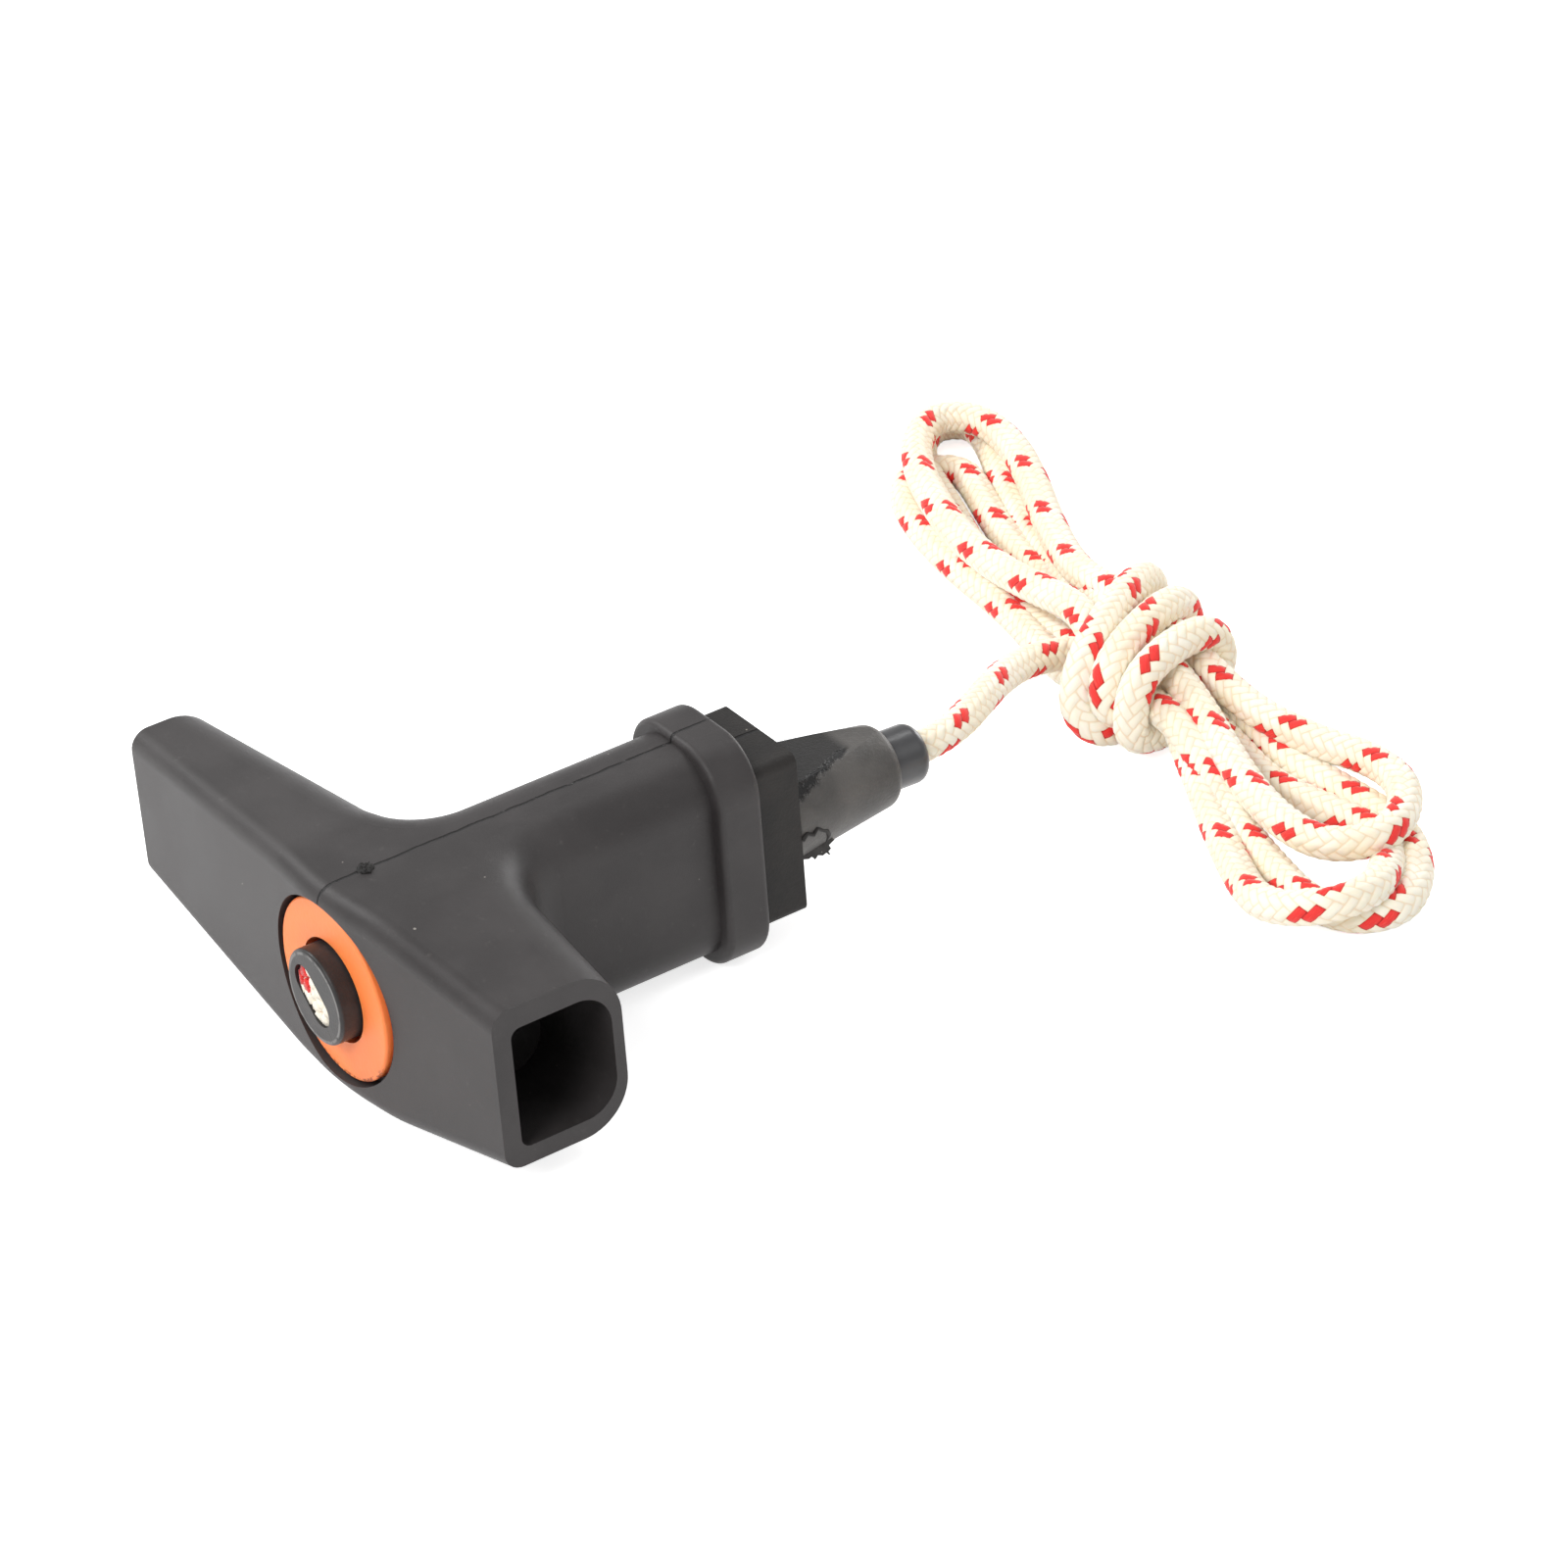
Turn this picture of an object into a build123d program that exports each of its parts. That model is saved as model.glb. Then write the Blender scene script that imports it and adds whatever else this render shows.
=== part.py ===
from build123d import *
import math
import os

# Recoil starter handle with its rope. The rope runs along +X through the neck and the nose,
# +Z is up, and z = 0 is the surface that the handle lies on. Lengths along the rope's axis are
# counted from the front of the grip, which is the end with the orange ring.

# Grip: a crossbar with two hollow arms, and a neck along the rope
long_arm = 56.5
long_arm_setback = 3.7
long_arm_end_depth = 13.2
long_arm_root_depth = 19.6
long_arm_end_height = 23.4
short_arm = 34.5
short_arm_setback = 4.9
short_arm_end_depth = 19.2
short_arm_root_depth = 24.6
short_arm_end_height = 24.2
neck_width = 17.8
neck_height = 32.0
shoulder = 11.0
shoulder_radius = 30.0
apex_radius = 60.0
junction_radius = 7.0
grip_edge_radius = 7.2
front_edge_radius = 2.8
arm_front_wall = 2.7
arm_back_wall = 1.6
arm_top_wall = 3.3
arm_bottom_wall = 2.7
hollow_corner_radius = 5.0
hollow_front_radius = 1.5
hollow_root = 15.0

# Collar at the neck's end
collar_start = 55.6
collar_length = 6.8
collar_width = 21.8
collar_height = 34.4
collar_corner_radius = 7.6
collar_edge_radius = 0.9
neck_length = collar_start + collar_length

# Orange ring, held in the grip's front
ring_radius = 13.0
ring_recess = 1.1
ring_flange = 2.2
ring_hole_radius = 7.45
ring_sleeve_wall = 1.25
ring_sleeve_length = 14.0
ring_gap = 0.6
ring_edge_radius = 0.4

# Rope anchor, which slides in the ring's sleeve
anchor_radius = 6.8
anchor_length = 18.0
anchor_proud = 1.8
anchor_edge = 0.5
slot_length = 9.2
slot_width = 4.8
slot_depth = 4.0
slot_side = 0.6
slot_turn = 42.0

# Damper round the rope, between the anchor and the nose
damper_gap = 0.1
damper_radius = 6.2
damper_bore_radius = 3.35
spring_bore_radius = anchor_radius + 0.3

# Nose: a tenon in the neck's end, a block against the collar and a cone
tenon_length = 10.2
tenon_width = 11.2
tenon_height = 22.8
tenon_clearance = 0.1
block_length = 7.1
block_width = 17.6
block_height = 25.0
block_edge = 1.4
cone_length = 19.4
cone_base_radius = 8.6
cone_tip_radius = 5.8
cone_edge_radius = 1.8
cone_flat_height = 6.0
cone_root = 2.0
cone_root_radius = 5.0
tenon_bore_radius = 3.55
nose_bore_radius = 3.25
nose_droop = 2.5

# Hard bush in the cone's tip
bush_radius = 4.3
bush_proud = 5.8
bush_depth = 5.0
bush_end_radius = 1.6

# Rope, and the hank that its free part is tied into
rope_diameter = 4.8
rope_radius = rope_diameter / 2
rope_clearance = 0.6
arc_share = 0.45
end_clearance = 0.1
lobe_height = 9.2
lobe_edge = 2.2
lobe_corner = 5.0
bundle_height = 12.4
bundle_edge = 2.5
bundle_corner = 4.0
knot_height = 17.1
knot_edge = 3.4
knot_corner = 4.6

# How near a face or a direction is to the one looked for, and how far a cut runs past an end
tolerance = 0.01
mostly = 0.9
overshoot = 1.0

# Places along the rope's axis
block_start = neck_length
slot_floor = slot_depth - anchor_proud
cone_start = block_start + block_length
socket_start = neck_length - tenon_length
sleeve_radius = ring_hole_radius + ring_sleeve_wall
anchor_end = anchor_length - anchor_proud

# The handle's box is centred over the origin and stands on z = 0. The rubber nose droops a little
# from the rope's axis, so its tip falls back by the droop's cosine.
droop = math.radians(nose_droop)
nose_reach = cone_length + bush_proud
tip_edge_lift = (bush_radius - bush_end_radius) * math.sin(droop)
tip_x = cone_start + (nose_reach - bush_end_radius) * math.cos(droop) + bush_end_radius
front_x = (anchor_proud - tip_x - tip_edge_lift) / 2
axis_y = (short_arm - long_arm) / 2
axis_z = collar_height / 2
plan = Plane(origin=(front_x, axis_y, axis_z))
across = Plane(origin=(front_x, axis_y, axis_z), x_dir=(0, 1, 0), z_dir=(1, 0, 0))
nose_root = across.offset(cone_start).origin
nose_line = Vector(math.cos(droop), 0, -math.sin(droop))
nose = Plane(origin=nose_root, x_dir=(0, 1, 0), z_dir=nose_line)
nose_plan = Plane(origin=nose_root, x_dir=nose_line, z_dir=(math.sin(droop), 0, math.cos(droop)))

# Reach, front setback, end depth, root depth and end height of the arm on each side of the rope
arms = {
    1: (
        long_arm,
        long_arm_setback,
        long_arm_end_depth,
        long_arm_root_depth,
        long_arm_end_height,
    ),
    -1: (
        short_arm,
        short_arm_setback,
        short_arm_end_depth,
        short_arm_root_depth,
        short_arm_end_height,
    ),
}


def front_at(y):
    """Distance of the bar's front face from the apex, y from the rope's axis."""
    reach, setback = arms[1 if y > 0 else -1][:2]
    return setback * abs(y) / reach


def back_at(y):
    """Distance of the bar's back face from the apex, y from the rope's axis."""
    reach, setback, end_depth, root_depth, _ = arms[1 if y > 0 else -1]
    share = (abs(y) - neck_width / 2) / (reach - neck_width / 2)
    return root_depth + (setback + end_depth - root_depth) * share


def half_height_at(y):
    """Half the bar's height outside its shoulder, y from the rope's axis."""
    arm = arms[1 if y > 0 else -1]
    reach = arm[0]
    fall = (neck_height - arm[-1]) / 2
    return neck_height / 2 - fall * (abs(y) - shoulder) / (reach - shoulder)


def arm_hollow(side):
    """The space inside one arm, open past the arm's end."""
    root = side * hollow_root
    mouth = side * (arms[side][0] + overshoot)
    with BuildPart() as hollow:
        with BuildSketch(plan):
            with BuildLine():
                Polyline(
                    (front_at(root) + arm_front_wall, root),
                    (front_at(mouth) + arm_front_wall, mouth),
                    (back_at(mouth) - arm_back_wall, mouth),
                    (back_at(root) - arm_back_wall, root),
                    close=True,
                )
            make_face()
        extrude(amount=neck_height, both=True)
        with BuildSketch(across):
            with BuildLine():
                Polyline(
                    (root, half_height_at(root) - arm_top_wall),
                    (mouth, half_height_at(mouth) - arm_top_wall),
                    (mouth, arm_bottom_wall - half_height_at(mouth)),
                    (root, arm_bottom_wall - half_height_at(root)),
                    close=True,
                )
            make_face()
        extrude(amount=neck_length, mode=Mode.INTERSECT)
        back_edges = hollow.faces().sort_by(Axis.X)[-1].edges().filter_by(Axis.Z, reverse=True)
        fillet(back_edges, radius=hollow_corner_radius)
        front_edges = hollow.faces().sort_by(Axis.X)[0].edges().filter_by(Axis.Z, reverse=True)
        fillet(front_edges, radius=hollow_front_radius)
    return hollow.part


with BuildPart() as collar:
    with BuildSketch(across.offset(collar_start)):
        RectangleRounded(collar_width, collar_height, collar_corner_radius)
    extrude(amount=collar_length)
    fillet(collar.faces().sort_by(Axis.X)[0].edges(), radius=collar_edge_radius)
    fillet(collar.faces().sort_by(Axis.X)[-1].edges(), radius=collar_edge_radius)

with BuildPart() as grip:
    # Crossbar and neck: the plan of the T, cut to the arms' falling heights
    with BuildSketch(plan) as outline:
        with BuildLine():
            Polyline(
                (0, 0),
                (front_at(-short_arm), -short_arm),
                (back_at(-short_arm), -short_arm),
                (short_arm_root_depth, -neck_width / 2),
                (neck_length - collar_length / 2, -neck_width / 2),
                (neck_length - collar_length / 2, neck_width / 2),
                (long_arm_root_depth, neck_width / 2),
                (back_at(long_arm), long_arm),
                (front_at(long_arm), long_arm),
                close=True,
            )
        make_face()
        junctions = outline.vertices().filter_by(
            lambda v: abs(abs(v.Y) - neck_width / 2) < tolerance and v.X < collar_start
        )
        fillet(junctions, radius=junction_radius)
        fillet(outline.vertices().sort_by(Axis.X)[0], radius=apex_radius)
    extrude(amount=neck_height, both=True)
    with BuildSketch(across) as elevation:
        with BuildLine():
            Polyline(
                (-short_arm, short_arm_end_height / 2),
                (-shoulder, neck_height / 2),
                (shoulder, neck_height / 2),
                (long_arm, long_arm_end_height / 2),
                (long_arm, -long_arm_end_height / 2),
                (shoulder, -neck_height / 2),
                (-shoulder, -neck_height / 2),
                (-short_arm, -short_arm_end_height / 2),
                close=True,
            )
        make_face()
        bends = elevation.vertices().filter_by(
            lambda v: abs(abs(v.X) - shoulder) < tolerance
        )
        fillet(bends, radius=shoulder_radius)
    extrude(amount=neck_length, mode=Mode.INTERSECT)

    walls = grip.faces().filter_by(lambda f: abs(f.normal_at().Z) < tolerance)
    fronts = walls.filter_by(lambda f: f.normal_at().X < -mostly)
    ends = walls.sort_by(Axis.Y)[0:1] + walls.sort_by(Axis.Y)[-1:] + walls.sort_by(Axis.X)[-1:]
    backs = ShapeList(f for f in walls if f not in fronts and f not in ends)
    fillet(backs.edges().filter_by(Axis.Z, reverse=True), radius=grip_edge_radius)
    rims = grip.faces().filter_by(lambda f: f.normal_at().X < -mostly).edges()
    rims = rims.filter_by(lambda e: abs(e.tangent_at(0.5).Y) > mostly)
    fillet(rims, radius=front_edge_radius)

    add(collar.part)

    # Arm hollows
    add(arm_hollow(1), mode=Mode.SUBTRACT)
    add(arm_hollow(-1), mode=Mode.SUBTRACT)

    # Ring seat, sleeve bore, spring bore and the nose's socket
    with BuildSketch(across):
        Circle(ring_radius + ring_gap)
    extrude(amount=ring_recess + ring_flange, mode=Mode.SUBTRACT)
    with BuildSketch(across):
        Circle(sleeve_radius)
    extrude(amount=ring_recess + ring_flange + ring_sleeve_length, mode=Mode.SUBTRACT)
    with BuildSketch(across):
        Circle(spring_bore_radius)
    extrude(amount=socket_start, mode=Mode.SUBTRACT)
    with BuildSketch(across.offset(socket_start)):
        Rectangle(tenon_width + 2 * tenon_clearance, tenon_height + 2 * tenon_clearance)
    extrude(amount=tenon_length, mode=Mode.SUBTRACT)

with BuildPart() as guide_ring:
    with BuildSketch(across.offset(ring_recess)):
        Circle(ring_radius)
    extrude(amount=ring_flange)
    fillet(guide_ring.edges().filter_by(GeomType.CIRCLE).sort_by(Axis.X)[0], radius=ring_edge_radius)
    with BuildSketch(across.offset(ring_recess + ring_flange)):
        Circle(sleeve_radius)
    extrude(amount=ring_sleeve_length)
    with BuildSketch(across.offset(ring_recess)):
        Circle(ring_hole_radius)
    extrude(amount=ring_flange + ring_sleeve_length, mode=Mode.SUBTRACT)

with BuildPart() as rope_anchor:
    with BuildSketch(across.offset(-anchor_proud)):
        Circle(anchor_radius)
    extrude(amount=anchor_length)
    fillet(rope_anchor.edges().sort_by(Axis.X)[0], radius=anchor_edge)
    with BuildSketch(across.offset(-anchor_proud)):
        with Locations((slot_side, 0)):
            SlotOverall(slot_length, slot_width, rotation=slot_turn)
    extrude(amount=slot_depth, mode=Mode.SUBTRACT)
    with BuildSketch(across.offset(slot_floor)):
        Circle(rope_radius)
    extrude(amount=anchor_length - slot_depth, mode=Mode.SUBTRACT)

with BuildPart() as damper_sleeve:
    with BuildSketch(across.offset(anchor_end + damper_gap)):
        Circle(damper_radius)
        Circle(damper_bore_radius, mode=Mode.SUBTRACT)
    extrude(amount=socket_start - anchor_end - 2 * damper_gap)

with BuildPart() as nose_guide:
    with BuildSketch(across.offset(socket_start + tenon_clearance)):
        Rectangle(tenon_width, tenon_height)
    extrude(amount=tenon_length - tenon_clearance)
    with BuildSketch(across.offset(block_start)):
        Rectangle(block_width, block_height)
    extrude(amount=block_length)
    block_sides = nose_guide.faces().filter_by(
        lambda f: abs(abs(f.center().Y - axis_y) - block_width / 2) < tolerance
    )
    fillet(block_sides.edges().filter_by(Axis.X), radius=block_edge)
    with BuildSketch(nose_plan):
        with BuildLine():
            Polyline(
                (-cone_root, 0),
                (-cone_root, cone_root_radius),
                (0, cone_base_radius),
                (cone_length, cone_tip_radius),
                (cone_length, 0),
                close=True,
            )
        make_face()
    revolve(axis=Axis(nose_root, nose_line))
    tip_edge = nose_guide.edges().filter_by(GeomType.CIRCLE).sort_by(Axis.X)[-1]
    fillet(tip_edge, radius=cone_edge_radius)
    with BuildSketch(nose):
        with Locations((0, cone_flat_height)):
            Rectangle(2 * cone_base_radius, cone_base_radius, align=(Align.CENTER, Align.MIN))
    extrude(amount=cone_length, mode=Mode.SUBTRACT)
    with BuildSketch(across.offset(socket_start)):
        Circle(tenon_bore_radius)
    extrude(amount=cone_start - cone_root / 2 - socket_start, mode=Mode.SUBTRACT)
    with BuildSketch(nose.offset(-cone_root)):
        Circle(nose_bore_radius)
    extrude(amount=cone_root + cone_length, mode=Mode.SUBTRACT)
    with BuildSketch(nose.offset(cone_length - bush_depth)):
        Circle(bush_radius)
    extrude(amount=bush_depth, mode=Mode.SUBTRACT)

with BuildPart() as nose_bush:
    with BuildSketch(nose.offset(cone_length - bush_depth)):
        Circle(bush_radius)
    extrude(amount=bush_depth + bush_proud)
    fillet(nose_bush.edges().sort_by(Axis.X)[-1], radius=bush_end_radius)
    with BuildSketch(nose.offset(cone_length - bush_depth)):
        Circle(rope_radius + rope_clearance)
    extrude(amount=bush_depth + bush_proud, mode=Mode.SUBTRACT)

# Route of the rope from the anchor's slot to the hank
rope_start = front_x + slot_floor
lead_route = [
    (rope_start, axis_y, axis_z),
    (-20.0, axis_y, 17.2),
    (3.0, axis_y, 17.05),
    (23.0, axis_y, 16.72),
    (38.0, axis_y, 16.4),
    (50.0, -10.9, 16.05),
    (57.6, -8.4, 15.5),
    (64.8, -3.6, 14.6),
    (71.8, 1.2, 13.2),
    (78.6, 4.6, 11.4),
    (85.5, 5.8, 9.4),
    (91.5, 4.4, 7.8),
]


def corner_radii(route):
    """The largest arc that each inner point of a route has room for."""
    points = [Vector(*point) for point in route]
    radii = []
    for before, corner, after in zip(points, points[1:], points[2:]):
        run = min((corner - before).length, (after - corner).length)
        turn = math.radians((corner - before).get_angle(after - corner))
        radii.append(arc_share * run / math.tan(turn / 2))
    return radii


with BuildPart() as rope_end:
    with BuildSketch(across.offset(end_clearance - anchor_proud)):
        with Locations((slot_side, 0)):
            SlotOverall(
                slot_length - 2 * end_clearance,
                slot_width - 2 * end_clearance,
                rotation=slot_turn,
            )
    extrude(amount=slot_depth - end_clearance)

with BuildPart() as rope_lead:
    with BuildLine() as lead_line:
        FilletPolyline(*lead_route, radius=corner_radii(lead_route))
    with BuildSketch(across.offset(slot_floor)):
        Circle(rope_radius)
    sweep(path=lead_line.wires()[0])

# The hank lies on the surface: two flat lobes of loops, tied by turns of the rope round their middle
upper_lobe = [
    (86.6, 10.0),
    (89.2, 28.0),
    (91.3, 38.0),
    (93.0, 52.0),
    (97.0, 67.0),
    (104.0, 76.0),
    (112.5, 82.0),
    (119.5, 87.6),
    (126.0, 79.5),
    (123.3, 67.0),
    (116.3, 50.0),
    (107.9, 29.0),
    (104.5, 10.0),
]
lower_lobe = [
    (102.5, -12.0),
    (103.8, -30.0),
    (106.6, -44.0),
    (103.5, -56.0),
    (96.5, -67.0),
    (86.0, -73.5),
    (75.0, -70.0),
    (69.3, -58.0),
    (73.5, -43.0),
    (80.0, -30.0),
    (86.0, -12.0),
]
bundle_plan = [
    (90.8, 31.0),
    (88.4, 9.0),
    (87.4, -11.0),
    (83.4, -28.0),
    (102.4, -28.0),
    (101.4, -11.0),
    (103.0, 9.0),
    (106.2, 31.0),
]
knot_plan = [
    (75.3, -5.5),
    (80.0, -18.4),
    (97.5, -18.4),
    (107.5, -9.0),
    (112.3, 12.3),
    (105.8, 18.3),
    (90.0, 7.0),
]


def rounded_block(corners, height, corner, edge):
    """A block on the surface with that plan, its corners and its level edges rounded."""
    with BuildPart() as block:
        with BuildSketch() as shape:
            with BuildLine():
                Polyline(*corners, close=True)
            make_face()
            fillet(shape.vertices(), radius=corner)
        extrude(amount=height)
        fillet(block.faces().filter_by(Axis.Z).edges(), radius=edge)
    return block.part


with BuildPart() as rope_hank:
    add(rounded_block(upper_lobe, lobe_height, lobe_corner, lobe_edge))
    add(rounded_block(lower_lobe, lobe_height, lobe_corner, lobe_edge))
    add(rounded_block(bundle_plan, bundle_height, bundle_corner, bundle_edge))
    add(rounded_block(knot_plan, knot_height, knot_corner, knot_edge))
    add(rope_lead.part, mode=Mode.SUBTRACT)

os.makedirs("parts", exist_ok=True)
pieces = {
    "grip": grip,
    "guide_ring": guide_ring,
    "rope_anchor": rope_anchor,
    "damper_sleeve": damper_sleeve,
    "nose_guide": nose_guide,
    "nose_bush": nose_bush,
    "rope_end": rope_end,
    "rope_lead": rope_lead,
    "rope_hank": rope_hank,
}
for name, piece in pieces.items():
    piece.part.label = name
    export_step(piece.part, f"parts/{name}.step")
    box = piece.part.bounding_box()
    print(name, round(piece.part.volume), "mm3", box.min, box.max, piece.part.is_valid)
print("radii", [round(radius, 1) for radius in corner_radii(lead_route)])
print("tube", rope_lead.part.volume, math.pi * rope_radius**2 * lead_line.wires()[0].length)
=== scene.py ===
"""Looks, light and camera of a recoil starter handle and its rope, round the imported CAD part."""

import math

import bpy
import numpy as np
from mathutils import Matrix, Vector


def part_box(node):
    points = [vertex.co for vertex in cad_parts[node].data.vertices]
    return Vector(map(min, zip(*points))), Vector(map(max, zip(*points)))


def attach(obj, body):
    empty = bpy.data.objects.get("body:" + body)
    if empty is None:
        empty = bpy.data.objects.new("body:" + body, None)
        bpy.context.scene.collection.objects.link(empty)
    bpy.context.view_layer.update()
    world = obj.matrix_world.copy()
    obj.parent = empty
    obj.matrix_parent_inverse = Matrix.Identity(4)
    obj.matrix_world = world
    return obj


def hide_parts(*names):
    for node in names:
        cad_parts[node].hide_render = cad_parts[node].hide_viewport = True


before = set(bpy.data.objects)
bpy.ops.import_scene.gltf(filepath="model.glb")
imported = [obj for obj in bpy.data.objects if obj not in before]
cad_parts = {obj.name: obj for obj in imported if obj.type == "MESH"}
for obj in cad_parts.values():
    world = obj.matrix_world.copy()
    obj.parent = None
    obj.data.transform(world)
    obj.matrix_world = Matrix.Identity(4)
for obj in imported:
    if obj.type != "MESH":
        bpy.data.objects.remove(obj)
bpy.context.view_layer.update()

MM = 0.001

# Camera: where the photograph was taken from, in millimetres and degrees
CAMERA_PLACE = (-334.5, -584.1, 442.6)
CAMERA_AZIMUTH = 32.196
CAMERA_ELEVATION = 31.99
CAMERA_ROLL = 4.429
CAMERA_LENS = 135.0
CAMERA_SENSOR = 36.0

# Lamps: name, place, target and diameter in metres, and power in watts
LAMPS = [
    ("key", (-0.9, -0.4, 0.95), (0.0, 0.0, 0.0), 0.6, 9.0),
    ("fill", (0.6, -0.8, 0.9), (0.0, 0.0, 0.0), 0.8, 1.2),
    ("right", (1.0, 0.36, 0.24), (0.0, 0.0, 0.02), 0.45, 3.4),
    ("edge", (-0.42, 0.85, 0.8), (0.0, 0.0, 0.0), 0.36, 6.5),
    ("top", (0.55, 0.35, 1.0), (0.05, 0.0, 0.0), 0.3, 1.6),
]

# The world's light on the object and its own brightness where it is seen or mirrored, and what the
# floor glows by itself there
WORLD_STRENGTH = 0.54
WORLD_SEEN = 0.8
FLOOR_LIFT = 0.72
FLOOR_REACH = 3.0
FLOOR_GREY = (0.86, 0.86, 0.86, 1.0)
WHITE = (1.0, 1.0, 1.0, 1.0)

# Places on the part in millimetres: the grip's apex, the rope's axis inside the grip, and the cone's
# start. The plug stands proud of the apex.
anchor_low, anchor_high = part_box("rope_anchor")
ring_low, ring_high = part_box("guide_ring")
PLUG_PROUD = 1.8
FRONT_X = anchor_low[0] / MM + PLUG_PROUD
AXIS_Y = (anchor_low[1] + anchor_high[1]) / 2 / MM
AXIS_Z = (anchor_low[2] + anchor_high[2]) / 2 / MM
PLUG_RADIUS = (anchor_high[1] - anchor_low[1]) / 2 / MM
RING_RADIUS = (ring_high[1] - ring_low[1]) / 2 / MM
NOSE_BASE = 22.9

# The skin on the cone's flat top, measured from the rope's axis and the cone's start: where its torn
# edge starts, how that slants and how ragged it is, the heights between which the flat begins, and
# the distances between which the skin and its tear fade out. The block's seam is seen above a height.
SKIN_START = -7.7
SKIN_SLANT = 0.4
SKIN_RAGGED = 2.6
SKIN_FLAT = (3.4, 4.4)
SKIN_FADE = (11.5, 14.0)
TEAR_FADE = (11.5, 13.0)
BLOCK_SEAM_HEIGHT = 8.0

# Marks, and a painted highlight: how far the plug's painted highlight line, for the light on its rounded
# edge, is inside its edge, a point on the crack under its slot with the crack's slant and top, the band
# of torn flash inside the ring's rim and that band's top, and two nicks in the rim, each as a place from
# the apex and a size
PLUG_HIGHLIGHT_INSET = 0.55
PLUG_CRACK = (-3.0, -4.0)
PLUG_CRACK_SLANT = -0.6
PLUG_CRACK_TOP = -3.4
RING_FLASH = (0.75, 0.35)
RING_FLASH_TOP = -6.0
RING_NICKS = [((-1.6, -11.8, 5.4), 0.7), ((-1.8, 0.2, 12.2), 0.45)]

# The mould's gate: a rough stub on top of the grip. Its foot is sunk in, and its rings of vertices
# stray from their radius by a share and from their level by a length.
GATE_X, GATE_Z = -38.6, 33.2
GATE_RADIUS = 1.25
GATE_RINGS, GATE_SIDES = 6, 28
GATE_FOOT = -0.1
GATE_LEVEL = 0.15
GATE_STRAY = (-0.2, 0.2)
GATE_RISE = (-0.2, 0.45)

# Torn flash under the cone: a thin sheet, with its place, half its thickness, how it tilts about a
# middle, how far its edge strays, and its outline in x and z; and a ridge along the cone
FLASH_Y = -17.5
FLASH_HALF = 0.16
FLASH_TILT = 0.03
FLASH_MIDDLE = 26.0
FLASH_STRAY = (-0.08, 0.08)
FLASH_OUTLINE = [
    (22.6, 12.9), (22.6, 11.6), (23.5, 11.35), (24.3, 11.6), (25.1, 11.2), (25.7, 11.35),
    (26.2, 10.7), (26.8, 11.1), (27.5, 10.75), (28.1, 10.95), (28.75, 10.35), (28.5, 11.0),
    (29.0, 11.3), (28.7, 11.9), (29.6, 12.5), (27.0, 14.0),
]
FLASH_RIDGE = [
    (23.0, -19.7, 16.3), (24.0, -19.6, 16.8), (25.0, -19.35, 16.1), (26.0, -19.1, 16.5),
    (27.0, -18.8, 15.8), (27.9, -18.5, 15.0), (28.2, -18.1, 14.1), (28.3, -17.7, 13.1),
    (28.6, -17.0, 12.4),
]
RIDGE_STRAY = (-0.15, 0.15)
RIDGE_RADII = (0.14, 0.4)
RIDGE_SIDES = 8

# Rope: eight yarns wind each way round it, and STITCH is the rope's length in which one yarn moves
# round by its own width. Nothing of the rope is lower than LOWEST.
ROPE_DIAMETER = 4.8
ROPE_SIDES = 40
YARNS = 8
STITCH = 1.84
ROPE_STEP = STITCH / 3
BRAID_DEPTH = 0.22
CURVE_RESOLUTION = 24
LOWEST = 0.02

# The rope is a little thicker in the hank and in its knot: by which share, from where along it, and
# over what length. The knot is counted from the free end.
HANK_SWELL = 0.05
HANK_START, HANK_GROWTH = 45.0, 30.0
KNOT_SWELL = 0.03
KNOT_LENGTH, KNOT_GROWTH = 230.0, 20.0

# The rope's cut end: rings of yarns round one in the middle, as a count and a radius, with a twist
# for each millimetre of radius, and the numbers of the red ones. Each yarn has its radii from root to
# tip, times a girth; its root is this far from the back, its tip from the front, and it leans aside.
# The bundle spreads from root to tip.
END_RINGS = [(6, 1.5), (12, 2.95)]
END_TWIST = 0.3
END_RED = (1, 7, 18)
END_RADII = (0.7, 0.8, 0.9, 1.0, 1.05, 1.05, 0.9)
END_GIRTH = (0.9, 1.12)
END_ROOT = 0.3
END_TIP = (0.03, 0.25)
END_LEAN = (-0.25, 0.25)
END_SPREAD = (0.88, 1.22)
END_SIDES = 10
END_FRONT = 0.02

# Loose fibres among the yarns: how far from the middle and behind the front they start, how long they
# are, how much they lean and bow, and how near the front they may come. Each twelfth one is red.
FIBRES = 150
FIBRE_REACH = 3.9
FIBRE_ROOT = 1.2
FIBRE_LENGTH = (0.7, 1.1)
FIBRE_LEAN = 0.45
FIBRE_BOW = 0.15
FIBRE_FRONT = 0.06
FIBRE_RED = 12
FIBRE_RADII = (0.06, 0.05, 0.03)
FIBRE_SIDES = 4

# The rope's route in millimetres, from inside the nose. The lead's points are also the CAD tube's.
LEAD_ROUTE = [
    (23.0, -11.0, 16.72), (38.0, -11.0, 16.4), (50.0, -10.9, 16.05), (57.6, -8.4, 15.5),
    (64.8, -3.6, 14.6), (71.8, 1.2, 13.2), (78.6, 4.6, 11.4), (85.5, 5.8, 9.4), (91.5, 4.4, 7.8),
]
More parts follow.
